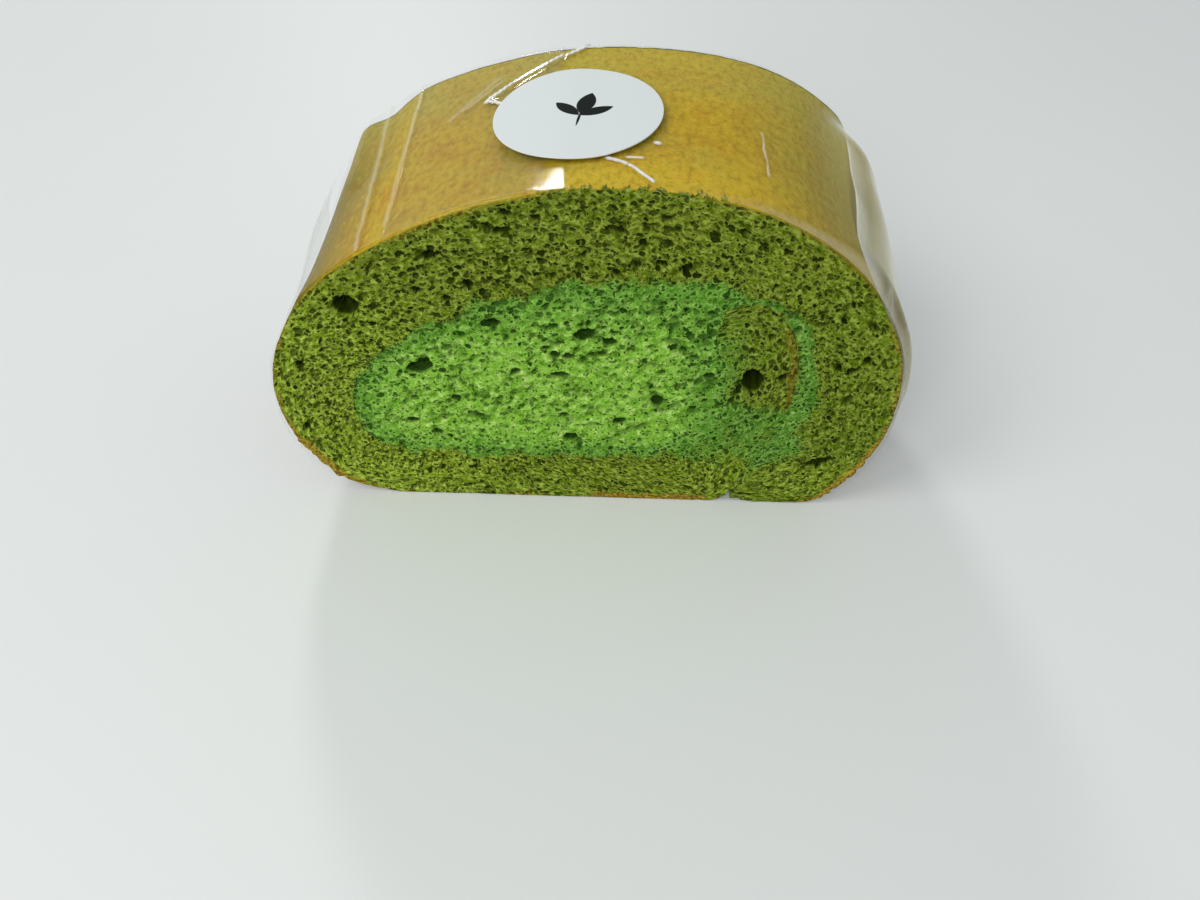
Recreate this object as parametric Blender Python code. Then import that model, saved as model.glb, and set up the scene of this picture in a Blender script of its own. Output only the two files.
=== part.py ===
"""Swiss roll cake: one cut slice of a cream roll, lying on its side with its clear film band and its seal.

The slice lies along Y, its front cut face towards -Y, with the width along X and Z up.
A cut face is drawn in millimetres as (across, up), and becomes metres when it is set in place.
"""
import math

import bmesh
import bpy
import numpy as np
from mathutils import Matrix, Vector

MM = 0.001

# Driving dimensions, in millimetres
LENGTH = 43.0          # of the slice, from cut face to cut face
GAP = 0.3              # between touching pieces
FILM = 0.3             # thickness of the film band
FILM_INSET = 0.4       # from a cut face back to the film's edge
BASE = GAP + FILM      # the cake's underside stands on the film
SEAL_ACROSS = 24.2
SEAL_LONG = 26.2       # from its front to its back, along the slice's length
SEAL_THICK = 0.25
SEAL_DEPTH = 20.0      # from the front face to the seal's middle

# The rolled sheet is drawn by ribs that cross it from its crust side to its cream side. They run from the
# curled start, down beside the filling, along the base, round the left side, over the top and down to the
# tail. A rib is (crust across, crust up, cream across, cream up).
RIBS = (
    (22.0, 42.4, 21.6, 41.8), (26.0, 43.6, 20.8, 38.0), (31.2, 39.2, 21.9, 32.6), (33.4, 29.0, 23.0, 26.0),
    (31.6, 17.6, 21.6, 17.4), (27.4, 8.0, 17.4, 12.6), (24.0, 0.8, 12.4, 11.0), (14.0, 0.0, 4.0, 10.4),
    (-14.0, 0.0, -15.0, 10.4), (-33.0, 0.1, -29.0, 11.1), (-43.6, 4.6, -34.6, 13.8),
    (-48.2, 15.4, -36.2, 20.4), (-47.6, 28.4, -34.2, 28.0), (-40.0, 42.2, -28.2, 34.2),
    (-26.0, 52.7, -17.4, 40.4), (-8.0, 59.8, -3.4, 45.9), (10.0, 61.3, 11.0, 47.4), (26.0, 58.0, 22.6, 46.2),
    (39.4, 48.8, 32.0, 41.6), (47.6, 35.4, 36.2, 33.0), (49.4, 22.0, 36.6, 22.6), (46.8, 9.6, 32.6, 13.0),
    (40.2, 0.8, 28.0, 5.6), (30.0, 0.0, 25.8, 0.9),
)
SEAM_RIB = 6           # where the curled start turns up from the base
TOP = 61.3             # height of the crust's highest point above its base
HALF = 49.0            # half the width, for what changes towards the sides
SEAM_FLOOR = 2.8       # the cream between start and tail ends this far above the base
ON_TOP = 0.75 * TOP    # the crust above this height is the cake's top
FLAT_HALF = 32.0       # the base is flat this far to each side

# How the outline changes behind the front cut face
FAR_TOP = -1.3         # the top sinks towards the far end
FAR_LEFT = 3.6         # while its left shoulder goes out
FAR_RIGHT = 2.5        # and its right shoulder
DIP = -1.8             # beside the left shoulder
DIP_AT = -31.0
DIP_WIDE = 3.9
WAIST = -2.0           # the right side draws in halfway along
FAR_WAIST = -1.2       # and stays in at the far end
LEFT_IN = 0.7          # the left side draws in right behind its front edge

# The film band starts on the top, left of the middle, runs to the right all the way round and laps itself
LAP_START = -25.4
LAP_END = -3.5
LAP_RISE = 12.0        # along which the outer ply climbs over the inner one
SEAL_RISE = 6.0        # along which the seal climbs over the lap's edge
STANDS_OFF_LEFT = 2.0
STANDS_OFF_RIGHT = 3.9
STANDS_OFF_CORNER = 0.5
BRIDGED = 0.5          # share of the dip that the film doesn't follow

# The crust has torn a little at the two lower corners
CRAG = 0.7             # how far the tears go in
CRAG_LENGTH = 5.2      # from one to the next, along the crust

# Large pores on the front face: (across, up, width, height, depth, lean in degrees)
SPONGE_PORES = (
    (-33.0, 42.0, 4.2, 3.4, 4.0, 40.0), (-19.5, 51.0, 2.4, 1.4, 2.4, 25.0), (-4.5, 57.4, 1.5, 1.1, 2.0, 10.0),
    (15.8, 49.6, 1.9, 1.5, 2.2, 20.0), (39.6, 10.4, 5.0, 2.0, 3.6, 28.0), (41.4, 31.2, 1.9, 1.5, 2.0, 0.0),
    (43.2, 33.4, 1.2, 1.8, 2.0, 15.0), (-43.0, 30.0, 1.6, 1.6, 2.0, 0.0), (26.8, 28.8, 3.2, 5.0, 9.0, 14.0),
    (-8.5, 58.0, 1.6, 1.0, 1.8, 15.0), (12.2, 50.4, 1.7, 1.2, 2.0, 0.0),
)
CREAM_PORES = (
    (-24.2, 30.0, 4.6, 2.4, 3.4, 24.0), (-12.0, 39.2, 2.6, 1.7, 2.6, 0.0), (1.4, 37.2, 3.2, 2.3, 3.2, 30.0),
    (5.2, 35.9, 2.4, 1.5, 2.4, 0.0), (-27.2, 18.2, 2.2, 1.4, 2.2, 0.0), (-23.6, 15.3, 1.7, 1.3, 2.0, 0.0),
    (-1.5, 15.0, 2.6, 2.0, 2.6, 20.0), (12.4, 23.6, 1.9, 2.2, 2.2, 0.0), (6.6, 19.2, 2.4, 1.8, 2.0, 10.0),
    (-2.6, 29.0, 3.4, 1.4, 1.8, 0.0),
)
FAR_PORES = 9          # on the far face, spread along the sheet

CRUST_POINTS = 150     # along the sheet's crust side
CREAM_POINTS = 104     # along its cream side
FILM_POINTS = 136      # along the film band
FINE = 1600            # points of the curves that these are read from
DEPTHS = (0.0, 0.07, 0.2, 0.36, 0.54, 0.74, 0.9, 1.0)
SEAL_SIDES = 36
SEAL_RINGS = (0.35, 0.7, 1.0)


def clear_scene():
    for thing in list(bpy.data.objects):
        bpy.data.objects.remove(thing, do_unlink=True)


def make_material(name, colour, roughness, alpha=1.0):
    finish = bpy.data.materials.new(name)
    finish.use_nodes = True
    shader = finish.node_tree.nodes["Principled BSDF"]
    shader.inputs["Base Color"].default_value = (*colour, 1.0)
    shader.inputs["Roughness"].default_value = roughness
    shader.inputs["Metallic"].default_value = 0.0
    shader.inputs["Alpha"].default_value = alpha
    return finish


def ease(low, high, value):
    """Goes smoothly from 0 at low to 1 at high."""
    share = np.clip((value - low) / (high - low), 0.0, 1.0)
    return share * share * (3.0 - 2.0 * share)


def through(knots, count):
    """Centripetal Catmull-Rom curve through the ribs, spaced by the distance between their middles."""
    knots = np.array(knots, float)
    knots = np.vstack([2 * knots[0] - knots[1], knots, 2 * knots[-1] - knots[-2]])
    middles = (knots[:, :2] + knots[:, 2:]) / 2
    times = np.concatenate([[0.0], np.cumsum(np.linalg.norm(np.diff(middles, axis=0), axis=1) ** 0.5)])
    at = np.linspace(times[1], times[-2], count)
    first = np.clip(np.searchsorted(times, at, side="right") - 1, 1, len(knots) - 3)

    def between(a, b, i, j):
        share = ((at - times[i]) / (times[j] - times[i]))[:, None]
        return a * (1 - share) + b * share

    i0, i1, i2, i3 = first - 1, first, first + 1, first + 2
    low = between(knots[i0], knots[i1], i0, i1)
    middle = between(knots[i1], knots[i2], i1, i2)
    high = between(knots[i2], knots[i3], i2, i3)
    return between(between(low, middle, i0, i2), between(middle, high, i1, i3), i1, i2)


def travelled(path):
    """Distance along a path at each of its points."""
    return np.concatenate([[0.0], np.cumsum(np.linalg.norm(np.diff(path, axis=0), axis=1))])


def spaced(path, count):
    """The same path with evenly spaced points."""
    far = travelled(path)
    at = np.linspace(0.0, far[-1], count)
    return np.stack([np.interp(at, far, path[:, 0]), np.interp(at, far, path[:, 1])], axis=1)


def left_of(path):
    """Unit normals on the left of the way the path runs, which is the crust's side."""
    along = np.gradient(path, axis=0)
    along /= np.linalg.norm(along, axis=1)[:, None]
    return np.stack([-along[:, 1], along[:, 0]], axis=1)


def sheet_sides():
    """Crust side and cream side of the rolled sheet, both from its curled start to its tail."""
    fine = through(RIBS, FINE)
    crust, cream = fine[:, :2], fine[:, 2:]
    crust[:, 1] = np.maximum(crust[:, 1], 0.0)
    return crust, cream


def dip(points):
    """How far the far end's top dips beside its left shoulder, below 0."""
    across, up = points[:, 0], points[:, 1]
    return DIP * np.exp(-((across - DIP_AT) / DIP_WIDE) ** 2) * ease(30.0, 46.0, up)


def swell(points, depth):
    """The cut face's outline as it is at a depth from 0, the front face, to 1, the far face."""
    across, up = points[:, 0], points[:, 1]
    outward = np.where(across < 0.0, -FAR_LEFT, FAR_RIGHT) * ease(6.0, 30.0, np.abs(across))
    outward = outward * np.clip(np.abs(across) / (0.8 * HALF), 0.0, 1.0) * ease(37.0, 50.0, up)
    drawn_in = (WAIST * np.sin(math.pi * depth) + FAR_WAIST * depth) * ease(30.0, 48.0, across)
    left = ease(-30.0, -44.0, across) * ease(5.0, 15.0, up) * (1.0 - ease(40.0, 50.0, up))
    moved = across + outward * depth + drawn_in + LEFT_IN * ease(0.0, 0.3, depth) * left
    sunk = FAR_TOP * (1.0 - ease(2.0, 46.0, np.abs(across - 10.0))) * ease(40.0, 56.0, up)
    return np.stack([moved, up + depth * (sunk + dip(points))], axis=1)


def in_place(points, back):
    """Millimetres on a cut face, and millimetres back from the front face, as metres."""
    depth = np.zeros(len(points)) + back - LENGTH / 2
    return np.stack([points[:, 0], depth, points[:, 1] + BASE], axis=1) * MM


def add_object(name, mesh, finish):
    piece = bpy.data.objects.new(name, mesh)
    bpy.context.scene.collection.objects.link(piece)
    mesh.materials.append(finish)
    mesh.shade_smooth()
    mesh.set_sharp_from_angle(angle=math.radians(35))
    return piece


def loft(name, rings, finish):
    """A closed body through rings of the same number of points, with a flat cap on each end."""
    form = bmesh.new()
    rows = [[form.verts.new(point) for point in ring] for ring in rings]
    for near, far in zip(rows, rows[1:]):
        for i in range(len(near)):
            j = (i + 1) % len(near)
            form.faces.new((near[i], near[j], far[j], far[i]))
    form.faces.new(rows[0][::-1])
    form.faces.new(rows[-1])
    bmesh.ops.recalc_face_normals(form, faces=form.faces)
    mesh = bpy.data.meshes.new(name)
    form.to_mesh(mesh)
    form.free()
    return add_object(name, mesh, finish)


def sponge_ring(depth):
    """The rolled sheet's outline at a depth: its crust side, torn at the corners, then its cream side."""
    crust, cream = sheet_sides()
    crust, cream = spaced(crust, CRUST_POINTS), spaced(cream, CREAM_POINTS)
    corner = ease(38.0, 43.0, np.abs(crust[:, 0])) * ease(0.5, 3.0, crust[:, 1])
    corner = corner * (1.0 - ease(10.0, 17.0, crust[:, 1]))
    waves = np.sin(2 * math.pi * travelled(crust) / CRAG_LENGTH + 9.0 * depth) * math.cos(11.0 * depth)
    torn = crust - left_of(crust) * (CRAG * corner * (0.5 + 0.5 * waves))[:, None]
    return swell(np.vstack([torn, cream[::-1]]), depth)


def cream_outline():
    """What the sheet rolls up: along its cream side to the seam, then back up the start's crust side."""
    crust, cream = sheet_sides()
    inner = cream - GAP * left_of(cream)
    tail = np.argmax((np.arange(FINE) > FINE // 2) & (inner[:, 1] < SEAM_FLOOR))
    start = crust + GAP * left_of(crust)
    seam = np.argmax(start[:, 1] < SEAM_FLOOR)
    beside_start = spaced(start[:seam][::-1], CREAM_POINTS // 4)
    tip = crust[:1] + np.array([[-GAP, GAP]])
    return np.vstack([spaced(inner[:tail], CREAM_POINTS), beside_start, tip])


def film_route():
    """The crust's outline all the way round, from the film's start on top, under the cake, to its lap."""
    crust, _ = sheet_sides()
    on_top = (np.arange(FINE) > FINE // 2) & (crust[:, 1] > ON_TOP)
    start = np.argmax(on_top & (crust[:, 0] > LAP_START))
    end = np.argmax(on_top & (crust[:, 0] > LAP_END))
    seam = np.argmin(np.linalg.norm(crust - RIBS[SEAM_RIB][:2], axis=1))
    route = np.vstack([crust[start:], crust[seam:end + 1]])
    under = (np.abs(route[:, 0]) < FLAT_HALF) & (route[:, 1] < SEAM_FLOOR)
    route[under, 1] = 0.0
    return spaced(route, FILM_POINTS)


def stand_off(route, depth):
    """How far the film stands off the crust at each point of its route."""
    across, up = route[:, 0], route[:, 1]
    low = ease(12.0, 26.0, up)
    left = STANDS_OFF_LEFT * ease(0.03, 0.8, depth) * ease(-28.0, -38.0, across)
    left = left * low * (1.0 - ease(35.0, 42.0, up))
    opening = 0.43 * ease(0.0, 0.06, depth) + 0.57 * ease(0.0, 0.46, depth) - ease(0.6, 1.0, depth)
    right = STANDS_OFF_RIGHT * opening * ease(26.0, 38.0, across)
    right = right * low * (1.0 - ease(48.0, 56.0, up))
    corner = STANDS_OFF_CORNER * ease(1.0, 6.0, up) * (1.0 - ease(14.0, 26.0, up))
    return left + right + corner - BRIDGED * depth * dip(route)


def film_ring(depth):
    """Outline of the film at a depth: its inner side, then back along its outer side."""
    flat = film_route()
    route = swell(flat, depth)
    outward = left_of(route)
    far = travelled(route)
    lap = far[-1] - 1.1 * (LAP_END - LAP_START)
    lapped = (FILM + GAP) * ease(lap - LAP_RISE, lap, far)
    inner = route + outward * (GAP + stand_off(flat, depth) + lapped)[:, None]
    return np.vstack([inner + outward * FILM, inner[::-1]])


def seal_rows():
    """Rings of a nearly round seal laid on the film's lap, as (across, back, height) on its underside."""
    crust, _ = sheet_sides()
    top = crust[(np.arange(FINE) > FINE // 2) & (crust[:, 1] > ON_TOP)]
    rows = []
    for share in (0.0,) + SEAL_RINGS:
        turn = np.linspace(0.0, 2 * math.pi, SEAL_SIDES, endpoint=False)
        across = share * SEAL_ACROSS / 2 * np.cos(turn)
        back = SEAL_DEPTH + share * SEAL_LONG / 2 * np.sin(turn)
        plies = 3 * GAP + 2 * FILM - (GAP + FILM) * ease(LAP_END, LAP_END + SEAL_RISE, across)
        on_crust = np.stack([across, np.interp(across, top[:, 0], top[:, 1])], axis=1)
        height = swell(on_crust, back / LENGTH)[:, 1] + plies
        rows.append(np.stack([across, back, height], axis=1))
    return rows


def make_seal(finish):
    form = bmesh.new()
    sides = []
    for rise in (0.0, SEAL_THICK):
        rows = []
        for row in seal_rows():
            place = (row + [0.0, -LENGTH / 2, rise + BASE]) * MM
            rows.append([form.verts.new(point) for point in place])
        middle = form.verts.new(sum((vert.co for vert in rows[0]), Vector()) / SEAL_SIDES)
        for vert in rows.pop(0):
            form.verts.remove(vert)
        for i in range(SEAL_SIDES):
            j = (i + 1) % SEAL_SIDES
            form.faces.new((middle, rows[0][i], rows[0][j]))
            for near, far in zip(rows, rows[1:]):
                form.faces.new((near[i], far[i], far[j], near[j]))
        sides.append(rows[-1])
    for i in range(SEAL_SIDES):
        j = (i + 1) % SEAL_SIDES
        form.faces.new((sides[0][i], sides[0][j], sides[1][j], sides[1][i]))
    bmesh.ops.recalc_face_normals(form, faces=form.faces)
    mesh = bpy.data.meshes.new("seal")
    form.to_mesh(mesh)
    form.free()
    return add_object("seal", mesh, finish)


def cut_pores(piece, pores, back):
    """Hollows out each pore with an egg shape whose middle lies on a cut face."""
    form = bmesh.new()
    for across, up, width, height, depth, lean in pores:
        place = Vector((across, back - LENGTH / 2, up + BASE)) * MM
        turn = Matrix.Rotation(math.radians(-lean), 4, "Y")
        size = Matrix.Diagonal((width / 2 * MM, depth * MM, height / 2 * MM, 1.0))
        bmesh.ops.create_icosphere(form, subdivisions=2, radius=1.0,
                                   matrix=Matrix.Translation(place) @ turn @ size)
    side = "front" if back == 0 else "far"
    mesh = bpy.data.meshes.new(piece.name + "_pores_" + side)
    form.to_mesh(mesh)
    form.free()
    cutter = bpy.data.objects.new(mesh.name, mesh)
    bpy.context.scene.collection.objects.link(cutter)
    cutter.hide_render = True
    cutter.display_type = "WIRE"
    cut = piece.modifiers.new(mesh.name, "BOOLEAN")
    cut.operation = "DIFFERENCE"
    cut.object = cutter
    return cutter


def far_pores():
    """Pores on the far face, stepped along the sheet and to and fro across it."""
    crust, cream = sheet_sides()
    crust, cream = swell(crust, 1.0), swell(cream, 1.0)
    pores = []
    for step in range(FAR_PORES):
        at = int(FINE * (step + 1.2) / (FAR_PORES + 1.0))
        share = 0.35 + 0.3 * ((step * 0.618) % 1.0)
        across, up = crust[at] * share + cream[at] * (1 - share)
        size = 1.4 + 1.4 * ((step * 0.382) % 1.0)
        pores.append((across, up, 1.5 * size, size, 1.2 * size, 25.0 * math.sin(step * 2.0)))
    return pores


def centre(pieces):
    """Moves the whole so that the middle of its box stands over the origin."""
    shown = [vert.co.copy() for piece in pieces if not piece.hide_render for vert in piece.data.vertices]
    low = Vector([min(point[i] for point in shown) for i in range(3)])
    high = Vector([max(point[i] for point in shown) for i in range(3)])
    shift = Vector((-(low.x + high.x) / 2, -(low.y + high.y) / 2, -low.z))
    for piece in pieces:
        piece.data.transform(Matrix.Translation(shift))


def make_cake():
    clear_scene()
    crumb = make_material("green crumb", (0.21, 0.24, 0.045), 0.9)
    filling = make_material("green cream", (0.15, 0.36, 0.05), 0.7)
    clear = make_material("clear film", (0.9, 0.92, 0.92), 0.12, 0.35)
    paper = make_material("white paper", (0.82, 0.84, 0.86), 0.55)

    sponge = loft("sponge", [in_place(sponge_ring(t), t * LENGTH) for t in DEPTHS], crumb)
    outline = cream_outline()
    cream = loft("cream", [in_place(swell(outline, t), t * LENGTH) for t in DEPTHS], filling)
    reach = LENGTH - 2 * FILM_INSET
    film = loft("film", [in_place(film_ring(t), FILM_INSET + t * reach) for t in DEPTHS], clear)
    seal = make_seal(paper)
    cutters = [cut_pores(sponge, SPONGE_PORES, 0.0), cut_pores(cream, CREAM_PORES, 0.0),
               cut_pores(sponge, far_pores(), LENGTH)]
    centre([sponge, cream, film, seal] + cutters)


make_cake()
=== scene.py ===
"""Looks of the swiss roll slice: open crumb, airy cream, golden crust, clear film band and paper seal.

A cut face is drawn in millimetres as (across, up), back from the front face is the third measure, and all of
it becomes metres when it is set in place.
"""
import math

import bpy
import numpy as np
from mathutils import Matrix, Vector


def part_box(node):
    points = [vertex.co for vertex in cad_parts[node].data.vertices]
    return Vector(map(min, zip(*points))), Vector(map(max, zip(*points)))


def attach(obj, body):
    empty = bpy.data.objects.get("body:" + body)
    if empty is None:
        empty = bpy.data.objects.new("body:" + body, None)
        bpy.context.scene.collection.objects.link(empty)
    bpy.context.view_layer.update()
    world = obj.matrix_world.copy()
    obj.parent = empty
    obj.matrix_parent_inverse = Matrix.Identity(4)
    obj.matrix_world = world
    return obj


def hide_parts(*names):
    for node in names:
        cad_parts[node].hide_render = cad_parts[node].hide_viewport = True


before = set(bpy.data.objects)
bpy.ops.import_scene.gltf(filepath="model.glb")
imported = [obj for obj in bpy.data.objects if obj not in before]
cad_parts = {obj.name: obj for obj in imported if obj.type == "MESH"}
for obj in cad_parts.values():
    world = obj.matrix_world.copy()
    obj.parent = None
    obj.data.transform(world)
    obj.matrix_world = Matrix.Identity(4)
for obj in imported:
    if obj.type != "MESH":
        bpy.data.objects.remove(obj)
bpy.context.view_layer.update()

MM = 0.001

# Sizes of the slice, most of them as its solids have them
LENGTH = 43.0
GAP, FILM, FILM_INSET = 0.3, 0.3, 0.4
BASE = GAP + FILM
SEAL_ACROSS, SEAL_LONG, SEAL_THICK, SEAL_GAP = 24.2, 26.2, 0.2, 0.05
SEAL_DEPTH = 20.0      # from the front face back to the seal's middle
TOP, HALF = 61.3, 49.0
ON_TOP = 0.75 * TOP
FLAT_HALF = 32.0       # the film lies flat on the ground within this of the middle
FAR_TOP, FAR_LEFT, FAR_RIGHT, WAIST, FAR_WAIST, LEFT_IN = -1.3, 3.6, 2.5, -2.0, -1.2, 0.7
DIP, DIP_AT, DIP_WIDE, BRIDGED = -1.8, -31.0, 3.9, 0.5
LAP_START, LAP_END, LAP_RISE, SEAL_RISE = -25.4, -3.5, 12.0, 8.0
PLY = 0.25             # the lap raises the film by this much
FILM_WALL, FILM_ROWS, FILM_COLUMNS = 0.14, 70, 560
TAUT = 0.16            # the film lies closer than its solid, by this much on average, and waves by as much
STANDS_OFF_LEFT, STANDS_OFF_RIGHT, STANDS_OFF_CORNER = 2.0, 3.9, 0.5
CRAG, CRAG_LENGTH = 0.7, 5.2
SEAM_FLOOR = 2.8
CREAM_LEFT = -37.5
CREAM_INSET = 0.22     # keeps the cream's edges off the sheet's

# Ribs across the rolled sheet, from its curled start to its tail: (crust across, up, cream across, up)
RIBS = (
    (22.0, 42.4, 21.6, 41.8), (26.0, 43.6, 20.8, 38.0), (31.2, 39.2, 21.9, 32.6), (33.4, 29.0, 23.0, 26.0),
    (31.6, 17.6, 21.6, 17.4), (27.4, 8.0, 17.4, 12.6), (24.0, 0.8, 12.4, 11.0), (14.0, 0.0, 4.0, 10.4),
    (-14.0, 0.0, -15.0, 10.4), (-33.0, 0.1, -29.0, 11.1), (-43.6, 4.6, -34.6, 13.8),
    (-48.2, 15.4, -36.2, 20.4), (-47.6, 28.4, -34.2, 28.0), (-40.0, 42.2, -28.2, 34.2),
    (-26.0, 52.7, -17.4, 40.4), (-8.0, 59.8, -3.4, 45.9), (10.0, 61.3, 11.0, 47.4), (26.0, 58.0, 22.6, 46.2),
    (39.4, 48.8, 32.0, 41.6), (47.6, 35.4, 36.2, 33.0), (49.4, 22.0, 36.6, 22.6), (46.8, 9.6, 32.6, 13.0),
    (40.2, 0.8, 28.0, 5.6), (30.0, 0.0, 25.8, 0.9),
)
SEAM_RIB = 6
FINE = 3200

# Large pores: (across, up, width, height, depth, lean in degrees)
SPONGE_PORES = (
    (-33.0, 42.0, 4.2, 3.4, 4.0, 40.0), (-19.5, 51.0, 2.4, 1.4, 2.4, 25.0), (-4.5, 57.4, 1.5, 1.1, 2.0, 10.0),
    (15.8, 49.6, 1.9, 1.5, 2.2, 20.0), (39.6, 10.4, 5.0, 2.0, 3.6, 28.0), (41.4, 31.2, 1.9, 1.5, 2.0, 0.0),
    (43.2, 33.4, 1.2, 1.8, 2.0, 15.0), (-43.0, 30.0, 1.6, 1.6, 2.0, 0.0), (26.8, 28.8, 3.2, 5.0, 9.0, 14.0),
    (-8.5, 58.0, 1.6, 1.0, 1.8, 15.0), (12.2, 50.4, 1.7, 1.2, 2.0, 0.0),
)
CREAM_PORES = (
    (-24.2, 30.0, 4.6, 2.4, 3.4, 24.0), (-12.0, 39.2, 2.6, 1.7, 2.6, 0.0), (1.4, 37.2, 3.2, 2.3, 3.2, 30.0),
    (5.2, 35.9, 2.4, 1.5, 2.4, 0.0), (-27.2, 18.2, 2.2, 1.4, 2.2, 0.0), (-23.6, 15.3, 1.7, 1.3, 2.0, 0.0),
    (-1.5, 15.0, 2.6, 2.0, 2.6, 20.0), (12.4, 23.6, 1.9, 2.2, 2.2, 0.0), (6.6, 19.2, 2.4, 1.8, 2.0, 10.0),
    (-2.6, 29.0, 3.4, 1.4, 1.8, 0.0),
)
FAR_PORES = 9

# Smaller ones, which the solids don't have
SMALL_SPONGE_PORES = (
    (-9.1, 55.2, 3.0, 1.2, 1.8, 10.0), (-14.7, 46.2, 1.8, 1.6, 1.8, 0.0), (9.7, 53.7, 1.2, 1.4, 1.5, 0.0),
    (-0.9, 46.1, 2.0, 1.0, 1.6, 0.0), (6.2, 48.6, 1.3, 1.2, 1.5, 0.0), (-18.1, 43.6, 1.3, 1.3, 1.5, 0.0),
    (-22.3, 45.1, 1.6, 1.3, 1.6, 0.0), (-45.5, 15.8, 2.0, 1.4, 1.6, 60.0), (31.3, 29.5, 1.4, 1.6, 1.6, 0.0),
)
SMALL_CREAM_PORES = (
    (-3.2, 33.2, 1.7, 1.5, 1.8, 0.0), (-4.6, 34.3, 1.3, 1.1, 1.5, 0.0), (-1.1, 32.9, 1.8, 1.2, 1.8, 0.0),
    (-3.1, 38.7, 1.7, 1.2, 1.6, 0.0), (-9.4, 29.6, 1.9, 1.4, 1.4, 40.0), (-19.4, 23.3, 1.6, 1.2, 1.6, 0.0),
    (13.0, 30.0, 1.4, 1.1, 1.4, 0.0), (-9.1, 22.0, 1.0, 0.9, 1.2, 0.0), (-5.5, 24.1, 1.2, 0.9, 1.2, 0.0),
    (5.9, 37.8, 1.7, 0.9, 1.4, 0.0), (20.2, 29.4, 1.6, 1.6, 1.8, 0.0),
)

# Where the cream's upper and lower edges face each other, as shares of their lengths from the seam
FACING = ((0.0, 0.0), (0.30, 0.22), (0.40, 0.36), (0.50, 0.50), (0.60, 0.64), (0.80, 0.84), (1.0, 1.0))

# Raised creases in the film: (across, back) at both ends, height, width and how white they are, 0 to 1.
# The whiteness is painted sheen; those whiter than the threshold below are painted glints, drawn as crisp
# lines.
GLINT_WHITE = 0.5
CREASES = (
    (-29.2, -1.0, -32.6, 44.0, 0.14, 0.42, 0.19), (-25.4, 3.0, -27.0, 44.0, 0.14, 0.42, 0.16),
    (0.8, 43.2, -14.5, 28.8, 0.42, 0.36, 1.00), (-14.5, 28.8, -11.0, 26.3, 0.36, 0.34, 1.00),
    (-19.8, 25.6, -13.0, 35.8, 0.12, 0.60, 0.13), (-18.0, 27.4, -12.4, 34.4, 0.10, 0.30, 0.22),
    (4.6, 7.8, 7.5, 6.1, 0.20, 0.30, 0.75), (7.5, 6.1, 11.0, 2.0, 0.22, 0.26, 0.85),
    (7.2, 7.9, 9.6, 8.0, 0.20, 0.22, 0.75), (10.9, 12.3, 11.8, 12.1, 0.20, 0.40, 0.85),
    (26.0, 20.5, 26.2, 9.0, 0.25, 0.22, 0.45),
)


def ease(low, high, value):
    """Goes smoothly from 0 at low to 1 at high: 3 times the share's square less twice its cube."""
    share = np.clip((value - low) / (high - low), 0.0, 1.0)
    return share * share * (3.0 - 2.0 * share)


def scatter(cells, seed):
    """One number from 0 to 1 for each lattice cell, mixed from the cell's whole coordinates and a seed."""
    mixed = np.full(cells.shape[:-1], seed * 2654435 + 97, np.int64)
    for axis, prime in zip(range(cells.shape[-1]), (73856093, 19349663, 83492791)):
        mixed = (mixed ^ (cells[..., axis] * prime)) & 0x7FFFFFFF
        mixed = ((mixed ^ (mixed >> 13)) * 1274126177) & 0x7FFFFFFF
    mixed = mixed ^ (mixed >> 15)
    return (mixed & 0xFFFFF) / 0xFFFFF


def clouds(points, size, seed):
    """Smooth noise from -1 to 1: random numbers at lattice points, eased between them on each axis."""
    scaled = points / size
    base = np.floor(scaled).astype(np.int64)
    inside = scaled - base
    inside = inside * inside * (3 - 2 * inside)
    total = np.zeros(points.shape[:-1])
    for corner in range(2 ** points.shape[-1]):
        step = np.array([(corner >> axis) & 1 for axis in range(points.shape[-1])])
        weight = np.prod(np.where(step, inside, 1 - inside), axis=-1)
        total += weight * scatter(base + step, seed)
    return 2 * total - 1


def bubbles(points, size, share, seed):
    """Depth of round pores as a share of size: a lattice cell may hold one at a random place and radius."""
    scaled = points / size
    base = np.floor(scaled).astype(np.int64)
    deepest = np.zeros(points.shape[:-1])
    for across in (-1, 0, 1):
        for up in (-1, 0, 1):
            cell = base + (across, up)
            middle = cell + 0.15 + 0.7 * np.stack([scatter(cell, seed), scatter(cell, seed + 1)], axis=-1)
            radius = 0.2 + 0.36 * scatter(cell, seed + 2) ** 1.6
            radius = np.where(scatter(cell, seed + 3) < share, radius, 0.001)
            away = np.linalg.norm(scaled - middle, axis=-1) / radius
            deepest = np.maximum(deepest, radius * np.sqrt(np.clip(1 - away ** 2, 0, 1)))
    return deepest


def through(knots, count):
    """Centripetal Catmull-Rom curve through the ribs, by the root of the distance between their middles."""
    knots = np.array(knots, float)
    knots = np.vstack([2 * knots[0] - knots[1], knots, 2 * knots[-1] - knots[-2]])
    middles = (knots[:, :2] + knots[:, 2:]) / 2
    times = np.concatenate([[0.0], np.cumsum(np.linalg.norm(np.diff(middles, axis=0), axis=1) ** 0.5)])
    at = np.linspace(times[1], times[-2], count)
    first = np.clip(np.searchsorted(times, at, side="right") - 1, 1, len(knots) - 3)

    def between(a, b, i, j):
        share = ((at - times[i]) / (times[j] - times[i]))[:, None]
        return a * (1 - share) + b * share

    i0, i1, i2, i3 = first - 1, first, first + 1, first + 2
    low = between(knots[i0], knots[i1], i0, i1)
    middle = between(knots[i1], knots[i2], i1, i2)
    high = between(knots[i2], knots[i3], i2, i3)
    return between(between(low, middle, i0, i2), between(middle, high, i1, i3), i1, i2)


def travelled(path):
    """Distance along a path at each of its points."""
    return np.concatenate([[0.0], np.cumsum(np.linalg.norm(np.diff(path, axis=0), axis=1))])


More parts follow.
